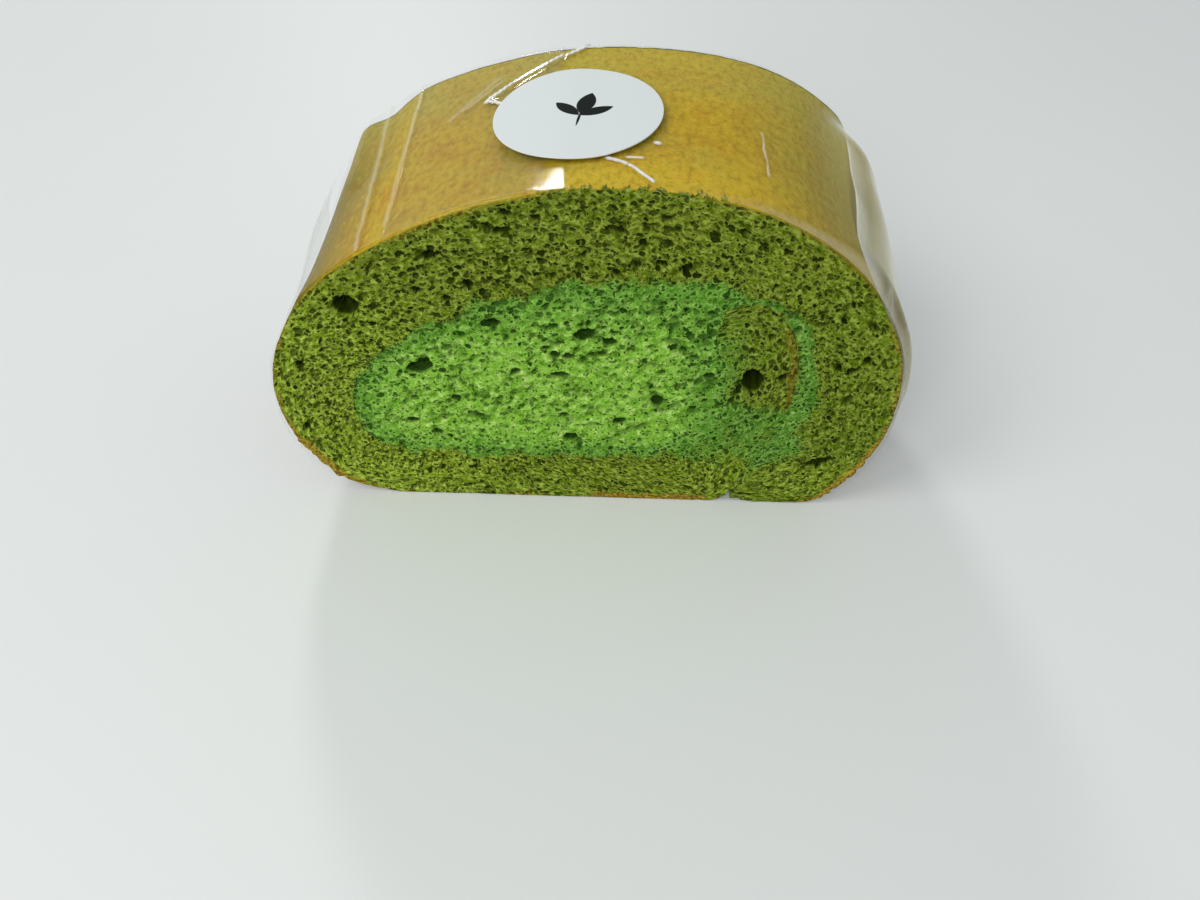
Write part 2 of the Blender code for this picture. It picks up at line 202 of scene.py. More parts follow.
def read_at(path, places, at):
    """Points of a path at given distances, where places holds the distance of each of its own points."""
    return np.stack([np.interp(at, places, path[:, i]) for i in range(path.shape[1])], axis=1)


def left_of(path):
    """Unit normals on the left of the way the path runs, which is the crust's side."""
    along = np.gradient(path, axis=0)
    along /= np.maximum(np.linalg.norm(along, axis=1), 1e-9)[:, None]
    return np.stack([-along[:, 1], along[:, 0]], axis=1)


def sheet_sides():
    """Crust side and cream side of the rolled sheet, both from its curled start to its tail."""
    fine = through(RIBS, FINE)
    crust, cream = fine[:, :2], fine[:, 2:]
    crust[:, 1] = np.maximum(crust[:, 1], 0.0)
    return crust, cream


def dip(points):
    """How far the far end's top dips beside its left shoulder, below 0, as a bell across."""
    across, up = points[..., 0], points[..., 1]
    return DIP * np.exp(-((across - DIP_AT) / DIP_WIDE) ** 2) * ease(30.0, 46.0, up)


def swell(points, depth):
    """The cut face's outline as it is at a depth from 0, the front face, to 1, the far face.

    Its shoulders spread and its top sinks and dips in step with the depth. The right side draws in, as half a
    sine and in step, and the left one at once behind the front.
    """
    across, up = points[..., 0], points[..., 1]
    outward = np.where(across < 0.0, -FAR_LEFT, FAR_RIGHT) * ease(6.0, 30.0, np.abs(across))
    outward = outward * np.clip(np.abs(across) / (0.8 * HALF), 0.0, 1.0) * ease(37.0, 50.0, up)
    drawn_in = (WAIST * np.sin(math.pi * depth) + FAR_WAIST * depth) * ease(30.0, 48.0, across)
    left = ease(-30.0, -44.0, across) * ease(5.0, 15.0, up) * (1.0 - ease(40.0, 50.0, up))
    moved = across + outward * depth + drawn_in + LEFT_IN * ease(0.0, 0.3, depth) * left
    sunk = FAR_TOP * (1.0 - ease(2.0, 46.0, np.abs(across - 10.0))) * ease(40.0, 56.0, up)
    return np.stack([moved, up + depth * (sunk + dip(points))], axis=-1)


CRUST, CREAM = sheet_sides()
SEAM = np.argmin(np.linalg.norm(CRUST - RIBS[SEAM_RIB][:2], axis=1))
START_LENGTH = travelled((CRUST + CREAM) / 2)[SEAM]
OUTER_TURN = np.arange(FINE) > FINE // 2
SPONGE_LOW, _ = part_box("sponge")
SHIFT = SPONGE_LOW[0] / MM - min(swell(CRUST, depth)[:, 0].min() for depth in np.linspace(0, 1, 9))
FRONT = SPONGE_LOW[1] / MM
SETTLE = 0.42          # the underside comes down this much onto the film, which is thinner than its solid


def in_place(points, back, settle=SETTLE):
    """Millimetres on a cut face, and millimetres back from the front face, as metres."""
    up = points[..., 1] + BASE - settle * (1 - ease(0.0, 9.0, points[..., 1]))
    return np.stack([points[..., 0] + SHIFT, back + FRONT + np.zeros_like(up), up], axis=-1) * MM


def add_mesh(name, points, quads, finish, polygons=()):
    """A smooth mesh object from arrays of points and four-sided faces, with a few other faces."""
    mesh = bpy.data.meshes.new(name)
    mesh.vertices.add(len(points))
    mesh.vertices.foreach_set("co", np.asarray(points, np.float32).ravel())
    sides = np.concatenate([np.full(len(quads), 4), [len(polygon) for polygon in polygons]]).astype(np.int32)
    corners = np.concatenate([np.ravel(quads), *polygons]).astype(np.int32)
    mesh.loops.add(len(corners))
    mesh.loops.foreach_set("vertex_index", corners)
    mesh.polygons.add(len(sides))
    mesh.polygons.foreach_set("loop_start", (np.cumsum(sides) - sides).astype(np.int32))
    mesh.polygons.foreach_set("loop_total", sides)
    mesh.update(calc_edges=True)
    mesh.validate()
    mesh.shade_smooth()
    mesh.materials.append(finish)
    piece = bpy.data.objects.new(name, mesh)
    bpy.context.scene.collection.objects.link(piece)
    return piece


def add_values(piece, name, values):
    """Keeps one number or one vector for each of a mesh's points, for its material to read."""
    kind, field = ("FLOAT_VECTOR", "vector") if np.ndim(values) == 2 else ("FLOAT", "value")
    layer = piece.data.attributes.new(name, kind, "POINT")
    layer.data.foreach_set(field, np.asarray(values, np.float32).ravel())


def grid_faces(numbers, flip=False):
    """Corners of the four-sided faces of a grid, from the numbers of its points."""
    corners = [numbers[:-1, :-1], numbers[:-1, 1:], numbers[1:, 1:], numbers[1:, :-1]]
    quads = np.stack(corners, axis=-1).reshape(-1, 4)
    return quads[:, ::-1] if flip else quads


def strip_solid(front, far, first_wall, second_wall):
    """A strip that runs from the front cut face to the far one, closed all round.

    front and far are grids of points, along by across; the walls are grids, along by back, between the first
    and the last column of both. Returns the points, the four-sided faces and the two end faces.
    """
    grids = (front, far, first_wall, second_wall)
    points = np.vstack([grid.reshape(-1, 3) for grid in grids])
    runs = np.split(np.arange(len(points)), np.cumsum([grid[..., 0].size for grid in grids])[:-1])
    numbers = [run.reshape(grid.shape[:2]) for run, grid in zip(runs, grids)]
    first = np.hstack([numbers[0][:, :1], numbers[2], numbers[1][:, :1]])
    second = np.hstack([numbers[0][:, -1:], numbers[3], numbers[1][:, -1:]])
    quads = np.vstack([grid_faces(numbers[0]), grid_faces(numbers[1], True),
                       grid_faces(first, True), grid_faces(second)])
    ends = []
    for row in (0, -1):
        loop = np.concatenate([numbers[0][row], second[row, 1:-1], numbers[1][row][::-1],
                               first[row, 1:-1][::-1]])
        ends.append(loop[::-1] if row == 0 else loop)
    return points, quads, ends


def warp(points, seed):
    """Points moved a little each way by noise."""
    return points + 0.4 * np.stack([clouds(points, 1.2, seed), clouds(points, 1.2, seed + 1)], axis=-1)


def large_pores(points, pores):
    """Depth in millimetres of named egg-shaped pores at points of a cut face, their rims a little uneven."""
    uneven = 1 + 0.12 * clouds(points, 1.6, 301) + 0.05 * clouds(points, 0.6, 302)
    deepest = np.zeros(points.shape[:-1])
    for across, up, width, height, depth, lean in pores:
        turn = math.radians(lean)
        x, y = points[..., 0] - across, points[..., 1] - up
        along = x * math.cos(turn) + y * math.sin(turn)
        over = -x * math.sin(turn) + y * math.cos(turn)
        away = np.hypot(along / (width / 2), over / (height / 2)) * uneven
        deepest = np.maximum(deepest, depth * np.sqrt(np.clip(1 - away ** 2, 0, 1)))
    return deepest


def far_pores():
    """Pores on the far face, stepped along the sheet and to and fro across it."""
    pores = []
    for step in range(FAR_PORES):
        at = int(FINE * (step + 1.2) / (FAR_PORES + 1.0))
        share = 0.35 + 0.3 * ((step * 0.618) % 1.0)
        across, up = CRUST[at] * share + CREAM[at] * (1 - share)
        size = 1.4 + 1.4 * ((step * 0.382) % 1.0)
        pores.append((across, up, 1.5 * size, size, 1.2 * size, 25.0 * math.sin(step * 2.0)))
    return pores


def crumb_relief(section, sheet, thick, pores, seed):
    """How deep the crumb lies below the cut, in millimetres.

    Pores of two sizes, drawn out along the sheet and shallower at both its sides, and the named large ones.
    """
    drawn = warp(sheet, seed) / (1.45, 0.95)
    edge = np.minimum(sheet[..., 1], thick - sheet[..., 1])
    inner = ease(0.2, 2.2, edge)
    patch = 0.8 + 0.5 * clouds(sheet, 8.0, seed + 2)
    depth = 1.7 * bubbles(drawn, 0.98, 0.60 * patch, seed + 10) * (0.6 + 0.4 * inner)
    depth = np.maximum(depth, 1.8 * bubbles(drawn + 7.1, 1.45, 0.14 * patch, seed + 30) * inner)
    depth = depth * (0.75 + 0.5 * clouds(sheet, 1.0, seed + 40))
    return np.maximum(depth, large_pores(section, pores))


def overhang(section):
    """Where the knife has dragged green crumbs over the edge of the crust, on top, 0 to 1."""
    across, up = section[..., 0], section[..., 1]
    return ease(-5.0, 0.0, across) * (1 - ease(13.0, 19.0, across)) * ease(50.0, 56.0, up)


def browned(section, to_crust, along):
    """How brown the cut face is, 0 to 1, in a line of uneven width along the crust.

    It is widest and ragged at both lower corners and under the seam's start, thin over the top, and gone
    where green crumbs hang over. Along the curled start it shows on the right side only.
    """
    across, up = section[..., 0], section[..., 1]
    corner = ease(36.0, 42.0, np.abs(across)) * (1.0 - ease(9.0, 20.0, up))
    width = 0.15 + 0.40 * (1 - ease(-44.0, -36.0, across)) + 0.2 * ease(44.0, 48.0, across)
    width = width + 0.05 * ease(40.0, 50.0, up) * (1 - ease(-10.0, 0.0, across)) + 1.0 * corner
    under = ease(0.0, 4.0, across) * (1 - ease(20.0, 23.0, across)) * (1 - ease(4.0, 6.0, up))
    width = (width + 1.5 * under) * (1 - overhang(section))
    start = along < START_LENGTH
    beside = 1.3 * ease(28.0, 31.0, across) * ease(22.0, 27.0, up) * (1 - ease(37.0, 41.0, up))
    width = np.where(start, beside, width)
    uneven = 0.45 * clouds(section, 1.9, 621) + 0.45 * clouds(section, 0.7, 622)
    return (1 - ease(-0.35, 0.35, to_crust + uneven - width)) * ease(0.0, 0.3, width)


def greenness(section, to_cream):
    """How green a spot is, 0 to 1, from the way to the cream in millimetres, which is below 0 inside it.

    The border is uneven. The lower half of the curled start and its left side have soaked up cream, and the
    thin tail of cream loses its green towards the seam.
    """
    across, up = section[..., 0], section[..., 1]
    uneven = 1.1 * clouds(section, 3.6, 611) + 0.8 * clouds(section, 1.4, 612)
    rim = 1 - ease(-0.8, 0.8, to_cream + uneven)
    rim = rim * (1 - (1 - ease(3.0, 11.0, up)) * ease(20.0, 24.0, across))
    uneven = 2.0 * clouds(section, 4.0, 614) + 1.2 * clouds(section, 1.6, 615)
    soaked = ease(9.5, 12.5, up + uneven) * (1 - ease(21.0, 25.5, up + uneven))
    soaked = soaked * ease(14.0, 18.0, across) * (1 - ease(33.5, 37.5, across + uneven))
    soaked = soaked + 0.9 * np.exp(-((across - 21.6) / 3.8) ** 2 - ((up - 30.0) / 9.0) ** 2)
    return np.clip(rim + soaked * (0.85 + 0.4 * clouds(section, 2.0, 613)), 0, 1)


def openness(section, to_edge):
    """How open the pores are, 0 to 1: most in the upper turn and at its left, least below and at the crust.

    It rises with the height and with the way in from the edge, and falls to the right.
    """
    across, up = section[..., 0], section[..., 1]
    upper = 0.35 + 0.65 * ease(8.0, 32.0, up) * (1 - 0.6 * ease(20.0, 38.0, across))
    return upper * (0.45 + 0.55 * ease(0.3, 3.5, to_edge)) * (0.9 + 0.3 * clouds(section, 6.0, 631))


def make_sponge(finish):
    """The rolled sheet: crumb relief on both cut faces, its crust and cream sides carried along the roll."""
    middle = travelled((CRUST + CREAM) / 2)
    along = 1130
    at = np.linspace(0.0, middle[-1], along)
    crust, cream = read_at(CRUST, middle, at), read_at(CREAM, middle, at)
    thick = np.linalg.norm(crust - cream, axis=1)
    outward = left_of(crust)
    corner = ease(38.0, 43.0, np.abs(crust[:, 0])) * ease(0.5, 3.0, crust[:, 1])
    corner = corner * (1.0 - ease(10.0, 17.0, crust[:, 1]))
    far_along = travelled(crust)

    def sides(depth):
        """Both sides of the sheet at a depth, with the torn corners and a slightly uneven crust."""
        waves = np.sin(2 * math.pi * far_along / CRAG_LENGTH + 9.0 * depth) * math.cos(11.0 * depth)
        spot = np.stack([far_along, np.full(along, depth * LENGTH)], axis=1)
        torn = corner * (0.35 * CRAG * (0.5 + 0.5 * waves) - 0.45 * clouds(spot, 2.3, 40))
        torn = torn - 0.35 * corner * clouds(spot, 0.9, 41)
        crumbs = overhang(crust) * (1 - ease(0.2, 2.2, spot[:, 1])) * (0.5 + 0.5 * clouds(spot, 0.8, 44))
        rough = 0.05 * clouds(spot, 5.0, 42) + 0.03 * clouds(spot, 1.2, 43) - 0.35 * crumbs
        rough = rough * ease(0.0, 2.0, crust[:, 1])
        return swell(crust - outward * (torn + rough)[:, None], depth), swell(cream, depth)

    def face(depth, across, pores, seed):
        """Grid of points on a cut face, where each lies in the sheet, and its values for the material."""
        share = np.linspace(0.0, 1.0, across)[None, :, None]
        outer, inner = sides(depth)
        section = outer[:, None] * (1 - share) + inner[:, None] * share
        sheet = np.stack(np.broadcast_arrays(at[:, None], thick[:, None] * share[..., 0]), axis=-1)
        to_crust = sheet[..., 1]
        relief = crumb_relief(section, sheet, thick[:, None], pores, seed)
        relief = relief + 0.12 * clouds(section, 3.0, seed + 5)
        values = {"pit": relief * np.minimum(1.0, 0.25 + to_crust / 0.8), "to_crust": to_crust,
                  "green": greenness(section, thick[:, None] - to_crust),
                  "open": openness(section, to_crust), "brown": browned(section, to_crust, sheet[..., 0])}
        return section, sheet, values

    section, sheet, values = face(0.0, 47, SPONGE_PORES + SMALL_SPONGE_PORES, 1)
    front = in_place(section, np.maximum(values["pit"], 0.0))
    far_section, far_sheet, far_values = face(1.0, 21, far_pores(), 70)
    far = in_place(far_section, LENGTH - np.maximum(far_values["pit"], 0.0))
    backs = np.array([0.9, 2.2, 4.5, 7.5, 11.0, 15.0, 19.0, 23.0, 27.0, 31.0, 35.0, 38.5, 41.0, 42.3])
    inner_backs = np.array([1.5, 14.0, 28.0, 41.5])
    wall = np.stack([in_place(sides(back / LENGTH)[0], back) for back in backs], axis=1)
    inner_wall = np.stack([in_place(sides(back / LENGTH)[1], back) for back in inner_backs], axis=1)
    points, quads, ends = strip_solid(front, far, wall, inner_wall)
    piece = add_mesh("crumb_sheet", points, quads, finish, ends)

    def each(front_value, far_value, wall_value, inner_value):
        """One value for every point, in the order of the solid's grids."""
        pairs = ((front_value, front), (far_value, far), (wall_value, wall), (inner_value, inner_wall))
        return np.concatenate([np.broadcast_to(value, grid.shape[:2]).ravel() for value, grid in pairs])

    add_values(piece, "sheet", np.stack([
        each(sheet[..., 0], far_sheet[..., 0], at[:, None], at[:, None]),
        each(sheet[..., 1], far_sheet[..., 1], 0.0, thick[:, None]),
        each(0.0, LENGTH, backs, inner_backs),
    ], axis=1))
    for name, *on_walls in (("pit", 0.0, 0.0), ("to_crust", -1.0, thick[:, None]), ("green", 0.0, 1.0),
                            ("open", 0.0, 0.5), ("brown", 0.0, 0.0)):
        add_values(piece, name, each(values[name], far_values[name], *on_walls))
    return piece


def cream_edges():
    """The cream's upper edge, under the outer turn, and its lower one, round the curled start."""
    left = np.argmin(np.where(np.arange(FINE) > FINE // 4, CREAM[:, 0], 0.0))
    step = FINE // 160
    tail = np.argmax(OUTER_TURN & (CREAM[:, 1] < SEAM_FLOOR) & (CREAM[:, 0] > 0))
    seam = np.argmax(CRUST[:, 1] < SEAM_FLOOR)
    upper = CREAM[left + step:tail][::-1]
    lower = np.vstack([CRUST[:seam][::-1], CREAM[:left - step]])
    return upper, lower


def make_cream(finish):
    """The filling and its thin tail beside the curled start, as a strip between its two edges.

    The relief holds bubbles of three sizes, the large pores and, towards the middle, slanting tears.
    """
    upper, lower = cream_edges()
    count = 430
    share = np.linspace(0.0, 1.0, count)
    facing = np.array(FACING)
    upper_far, lower_far = travelled(upper), travelled(lower)
    first = read_at(upper, upper_far, share * upper_far[-1])
    second = read_at(lower, lower_far, np.interp(share, facing[:, 0], facing[:, 1]) * lower_far[-1])
    first = first - CREAM_INSET * left_of(first)
    second = second + CREAM_INSET * left_of(second)

    def face(across, pores, seed):
        """Grid of points on a cut face, and its values for the material."""
        part = np.linspace(0.0, 1.0, across)[None, :, None]
        section = first[:, None] * (1 - part) + second[:, None] * part
        reach = np.linalg.norm(first - second, axis=1)[:, None]
        inward = np.minimum(part[..., 0], 1 - part[..., 0]) * reach
        inward = np.minimum(inward, (section[..., 0] - CREAM_LEFT).clip(0, None))
        airy = ease(2.0, 8.0, inward)
        warped = warp(section, seed)
        drawn = warped / (1.3, 0.95)
        turned = np.stack([0.86 * warped[..., 0] + 0.5 * warped[..., 1],
                           0.86 * warped[..., 1] - 0.5 * warped[..., 0]], axis=-1) / (1.6, 1.0)
        high = ease(24.0, 40.0, section[..., 1])
        depth_in = 1.5 * bubbles(drawn, 1.05, 0.14 + 0.36 * high, seed + 10)
        depth_in = np.maximum(depth_in, 1.5 * bubbles(drawn + 2.7, 1.6, 0.14 + 0.20 * high, seed + 20))
        depth_in = np.maximum(depth_in, 0.9 * bubbles(drawn + 5.1, 2.8, 0.16, seed + 30) * airy)
        depth_in = depth_in * (0.75 + 0.5 * clouds(section, 1.0, seed + 40))
        torn = 0.36 * clouds(turned, 1.3, seed + 3) + 0.32 * clouds(turned, 0.6, seed + 4)
        depth_in = np.maximum(depth_in, large_pores(section, pores)) + torn * (0.3 + 0.7 * airy)
        return section, {"pit": depth_in + 0.1, "inward": inward, "green": greenness(section, -inward),
                         "open": openness(section, 4.0)}

    section, values = face(118, CREAM_PORES + SMALL_CREAM_PORES, 401)
    far_section, far_values = face(60, (), 470)
    front = in_place(swell(section, 0.0), np.maximum(values["pit"], 0.0))
    far = in_place(swell(far_section, 1.0), LENGTH - np.maximum(far_values["pit"], 0.0))
    backs = np.array([1.5, 14.0, 28.0, 41.5])
    walls = [np.stack([in_place(swell(side, back / LENGTH), back) for back in backs], axis=1)
             for side in (first, second)]
    points, quads, ends = strip_solid(front, far, *walls)
    piece = add_mesh("cream_filling", points, quads, finish, ends)
    for name, wall_value in (("pit", 0.0), ("inward", 0.0), ("green", 1.0), ("open", 1.0)):
        on_walls = np.full(2 * count * len(backs), wall_value)
        add_values(piece, name, np.concatenate([values[name].ravel(), far_values[name].ravel(), on_walls]))
    return piece


def film_route():
    """The crust's outline all the way round, from the film's start on top, under the cake, to its lap.

    Its points lie up to 4 times closer together where it is high.
    """
    on_top = OUTER_TURN & (CRUST[:, 1] > ON_TOP)
    start = np.argmax(on_top & (CRUST[:, 0] > LAP_START))
    end = np.argmax(on_top & (CRUST[:, 0] > LAP_END))
    route = np.vstack([CRUST[start:], CRUST[SEAM:end + 1]])
    under = (np.abs(route[:, 0]) < FLAT_HALF) & (route[:, 1] < SEAM_FLOOR)
    route[under, 1] = 0.0
    far = travelled(route)
    count = np.cumsum((0.7 + 2.1 * ease(10.0, 24.0, route[:, 1])) * np.gradient(far))
    at = np.interp(np.linspace(count[0], count[-1], FILM_COLUMNS), count, far)
    return read_at(route, far, at)


def stand_off(route, depth):
    """How far the film stands off the crust: to the left, to the right, at the corners and over the dip.

    The left opens from front to back. The right opens fast, stays open and closes at the back.
    """
    across, up = route[..., 0], route[..., 1]
    low = ease(12.0, 26.0, up)
    left = STANDS_OFF_LEFT * ease(0.03, 0.8, depth) * ease(-28.0, -38.0, across)
    left = left * low * (1.0 - ease(35.0, 42.0, up))
    opening = 0.43 * ease(0.0, 0.06, depth) + 0.57 * ease(0.0, 0.46, depth) - ease(0.6, 1.0, depth)
    right = STANDS_OFF_RIGHT * opening * ease(26.0, 38.0, across)
    right = right * low * (1.0 - ease(48.0, 56.0, up))
    corner = STANDS_OFF_CORNER * ease(1.0, 6.0, up) * (1.0 - ease(14.0, 26.0, up))
    return left + right + corner - BRIDGED * depth * dip(route)


def beside_line(x0, y0, x1, y1, x, y):
    """A line's length, and how far along it and aside of it a place lies. Takes arrays or sockets."""
    length = math.hypot(x1 - x0, y1 - y0)
    run_x, run_y = (x1 - x0) / length, (y1 - y0) / length
    return length, (x - x0) * run_x + (y - y0) * run_y, (x - x0) * run_y - (y - y0) * run_x


def creases(across, back):
    """Height of the film's raised creases: each falls away from its line as a bell and fades at its ends."""
    height = np.zeros_like(across)
    for *line, high, wide, _ in CREASES:
        length, along, aside = beside_line(*line, across, back)
        ends = ease(-0.6, 1.2, along) * (1 - ease(length - 1.2, length + 0.6, along))
        height = np.maximum(height, high * ends * np.exp(-(aside / wide) ** 2))
    return height


def make_film(finish):
    """The clear band: the crust's outline pushed out by its stand-off, creases and lap, with a thin wall.

    Its material reads how far across and back a point lies (flat), and how much it is on top, away from the
    crust, at the milky front lip and on the lap (top, away, lip and double, each 0 to 1).
    """
    route = film_route()
    outer, inner = [], []
    values = {name: [] for name in ("flat", "top", "away", "lip", "double")}
    for depth in np.linspace(0.0, 1.0, FILM_ROWS) ** 1.15:
        line = swell(route, depth)
        across, up = line[:, 0], line[:, 1]
        outward, far = left_of(line), travelled(line)
        lap = far[-1] - 1.1 * (LAP_END - LAP_START)
        lapped = ease(lap - LAP_RISE, lap, far)
        back = np.full(len(far), FILM_INSET + depth * (LENGTH - 2 * FILM_INSET))
        spot = np.stack([far, back], axis=1)
        on_top = ease(34.0, 44.0, up) * ((far > far[-1] * 0.5) | (across > LAP_END))
        slack = TAUT * (clouds(spot, 9.0, 501) - 1) * ease(3.0, 14.0, up)
        stands_off = stand_off(route, depth)
        off = BASE + stands_off + PLY * lapped + slack + creases(across, back) * on_top
        edge = line + outward * off[:, None]
        outer.append(in_place(edge, back, 0.0))
        inner.append(in_place(edge - outward * FILM_WALL, back, 0.0))
        milky = 1 - ease(1.0, 2.6, back + 0.5 * clouds(spot, 4.0, 511))
        values["flat"].append(np.stack([across, back, 0 * back], axis=1))
        values["top"].append(on_top)
        values["away"].append(np.clip(stands_off / 2.2, 0, 1) * ease(8.0, 20.0, up))
        values["lip"].append(milky * ease(14.0, 36.0, across) * ease(26.0, 34.0, up))
        values["double"].append(lapped)
    points, quads = shell(np.stack(outer, axis=1), np.stack(inner, axis=1))
    piece = add_mesh("film_band", points, quads, finish)
    for name, lines in values.items():
        one_side = np.stack(lines, axis=1)
        one_side = one_side.reshape(-1, 3) if name == "flat" else one_side.ravel()
        add_values(piece, name, np.concatenate([one_side, one_side]))
    return piece


def shell(outer, inner):
    """Closes the space between two like grids with a rim of faces."""
    size = outer[..., 0].size
    numbers = np.arange(size).reshape(outer.shape[:2])
    rim = np.concatenate([numbers[0], numbers[1:, -1], numbers[-1, -2::-1], numbers[-2:0:-1, 0]])
    after = np.roll(rim, -1)
    quads = [grid_faces(numbers, True), grid_faces(numbers + size),
             np.stack([rim, after, after + size, rim + size], axis=1)]
    return np.vstack([outer.reshape(-1, 3), inner.reshape(-1, 3)]), np.vstack(quads)


def make_seal(finish):
    """A nearly round paper that follows the film: oval rings of points, each as high as the film there.

    Being stiff, it stands a little above the film towards its edges, as a parabola across the roll.
    """
    top = CRUST[OUTER_TURN & (CRUST[:, 1] > ON_TOP)]
    turn = np.linspace(0.0, 2 * math.pi, 128, endpoint=False)
    share = np.concatenate([np.linspace(0.0, 0.98, 14)[1:], [0.995, 1.0]])[:, None]
    across = np.concatenate([[0.0], (share * SEAL_ACROSS / 2 * np.cos(turn)).ravel()])
    back = np.concatenate([[0.0], (share * SEAL_LONG / 2 * np.sin(turn)).ravel()]) + SEAL_DEPTH
    from_middle = across / 12.0
    stiff = (0.12 - 0.34 * from_middle + 0.64 * from_middle ** 2).clip(0.05, None)
    plies = BASE + SEAL_GAP + PLY * (1 - ease(LAP_END, LAP_END + SEAL_RISE, across)) + stiff
    on_crust = np.stack([across, np.interp(across, top[:, 0], top[:, 1])], axis=1)
    height = swell(on_crust, back / LENGTH)[:, 1] + plies
    under = np.stack([across + SHIFT, back + FRONT, height + BASE], axis=1) * MM
    over = under + (0.0, 0.0, SEAL_THICK * MM)
    size = len(under)
    ring = 1 + np.arange(len(share) * len(turn)).reshape(len(share), len(turn))
    after = np.roll(ring, -1, axis=1)
    bands = np.stack([ring[:-1], ring[1:], after[1:], after[:-1]], axis=-1).reshape(-1, 4)
    fan = np.stack([np.zeros_like(ring[0]), ring[0], after[0]], axis=1)
    rim = np.stack([ring[-1], ring[-1] + size, after[-1] + size, after[-1]], axis=1)
    quads = np.vstack([bands[:, ::-1], bands + size, rim[:, ::-1]])
    piece = add_mesh("seal_paper", np.vstack([under, over]), quads, finish, [*fan[:, ::-1], *(fan + size)])
    place = np.stack([across, back - SEAL_DEPTH, np.zeros(size)], axis=1)
    add_values(piece, "place", np.vstack([place, place + (0.0, 0.0, SEAL_THICK)]))
    return piece


class Wire:
    """A socket in a material's tree. Plus, minus, times and over on it add Math nodes."""

    def __init__(self, build, socket):
        self.build = build
        self.socket = socket

    def math(self, operation, *values):
        return self.build.node("ShaderNodeMath", {"operation": operation}, *values)

    def __add__(self, other):
        return self.math("ADD", self, other)

    def __sub__(self, other):
        return self.math("SUBTRACT", self, other)

    def __rsub__(self, other):
        return self.math("SUBTRACT", other, self)

    def __mul__(self, other):
        return self.math("MULTIPLY", self, other)

    def __truediv__(self, other):
        return self.math("DIVIDE", self, other)

    def __pow__(self, other):
        return self.math("POWER", self, other)

    __radd__ = __add__
    __rmul__ = __mul__

    def least(self, other):
        return self.math("MINIMUM", self, other)

    def most(self, other):
        return self.math("MAXIMUM", self, other)

    def rise(self, low, high):
        """Goes smoothly from 0 at low to 1 at high."""
        return self.build.node("ShaderNodeMapRange", {"interpolation_type": "SMOOTHSTEP"}, self, low, high)


class Finish:
    """A material with one Principled shader, and what makes its nodes."""

    def __init__(self, name, **values):
        self.material = bpy.data.materials.new(name)
        self.material.use_nodes = True
        self.tree = self.material.node_tree
        self.shader = self.tree.nodes["Principled BSDF"]
        self.set(**values)

    def set(self, **values):
        """Sets or links the shader's sockets, with _ for each space in their names."""
        for name, value in values.items():
            self.give(self.shader.inputs[name.replace("_", " ")], value)

    def give(self, socket, value):
        if isinstance(value, Wire):
            self.tree.links.new(value.socket, socket)
        else:
            socket.default_value = value

    def node(self, kind, settings, *inputs, out=0, **named):
        """Adds a node, makes its settings, then fills its sockets by order or by name."""
        node = self.tree.nodes.new(kind)
        for name, value in settings.items():
            setattr(node, name, value)
        for socket, value in zip(node.inputs, inputs):
            self.give(socket, value)
        for name, value in named.items():
            self.give(node.inputs[name.replace("_", " ")], value)
        return Wire(self, node.outputs[out])

    def read(self, name, out="Fac"):
        return self.node("ShaderNodeAttribute", {"attribute_name": name}, out=out)

    def place(self):
        return self.node("ShaderNodeTexCoord", {}, out="Object")

    def split(self, vector):
        """The three numbers of a vector."""
        node = self.node("ShaderNodeSeparateXYZ", {}, vector).socket.node
        return [Wire(self, socket) for socket in node.outputs]

    def scale(self, vector, by):
        return self.node("ShaderNodeVectorMath", {"operation": "MULTIPLY"}, vector, by)

    def noise(self, vector, scale, detail=2.0, roughness=0.5, out="Fac"):
        return self.node("ShaderNodeTexNoise", {}, Vector=vector, Scale=scale, Detail=detail,
                         Roughness=roughness, out=out)

    def shift(self, vector, by, amount):
        """Moves a vector by amount times another one."""
        far = self.scale(by, (amount, amount, amount))
        return self.node("ShaderNodeVectorMath", {"operation": "ADD"}, vector, far)

    def pores(self, vector, scale, largest, chance):
        """Soft holes of random width and depth in Voronoi cells, their bowls and their pale rims. The holes'
        darkness serves as painted shade and the pale rims as painted highlight.
        """
        away = self.node("ShaderNodeTexVoronoi", {}, Vector=vector, Scale=scale, out="Distance")
        cell = self.node("ShaderNodeTexVoronoi", {}, Vector=vector, Scale=scale, out="Color")
        width, depth, _ = self.split(cell)
        radius = 0.16 + largest * width * chance
        past, deep = away - radius, 0.55 + 0.45 * depth
        hole_shade, bowl = (1 - past.rise(-0.12, 0.05)) * deep, (1 - (away / radius).rise(0.0, 1.25)) * deep
        return hole_shade, bowl, 1 - past.rise(0.03, 0.24)

    def mix(self, share, first, second, blend="MIX"):
        """Blends two colours."""
        node = self.tree.nodes.new("ShaderNodeMix")
        node.data_type = "RGBA"
        node.blend_type = blend
        self.give(node.inputs["Factor"], share)
        for name, value in (("A", first), ("B", second)):
            socket = [s for s in node.inputs if s.name == name and s.type == "RGBA"][0]
            self.give(socket, value if isinstance(value, Wire) else (*value, 1.0))
        return Wire(self, [s for s in node.outputs if s.type == "RGBA"][0])

    def bump(self, height):
        return self.node("ShaderNodeBump", {}, Strength=1.0, Distance=0.6 * MM, Height=height, out="Normal")

    def section(self):
        """A point's place in millimetres, and how far across the cut face and up it lies."""
        place = self.scale(self.place(), (1000.0, 1000.0, 1000.0))
        across, _, up = self.split(place)
        return place, across - SHIFT, up

    def layers(self, colour, *tints):
        """Lays tints over a colour in turn, each a share and its colour."""
        for share, tint in tints:
            colour = self.mix(share, colour, tint)
        return colour


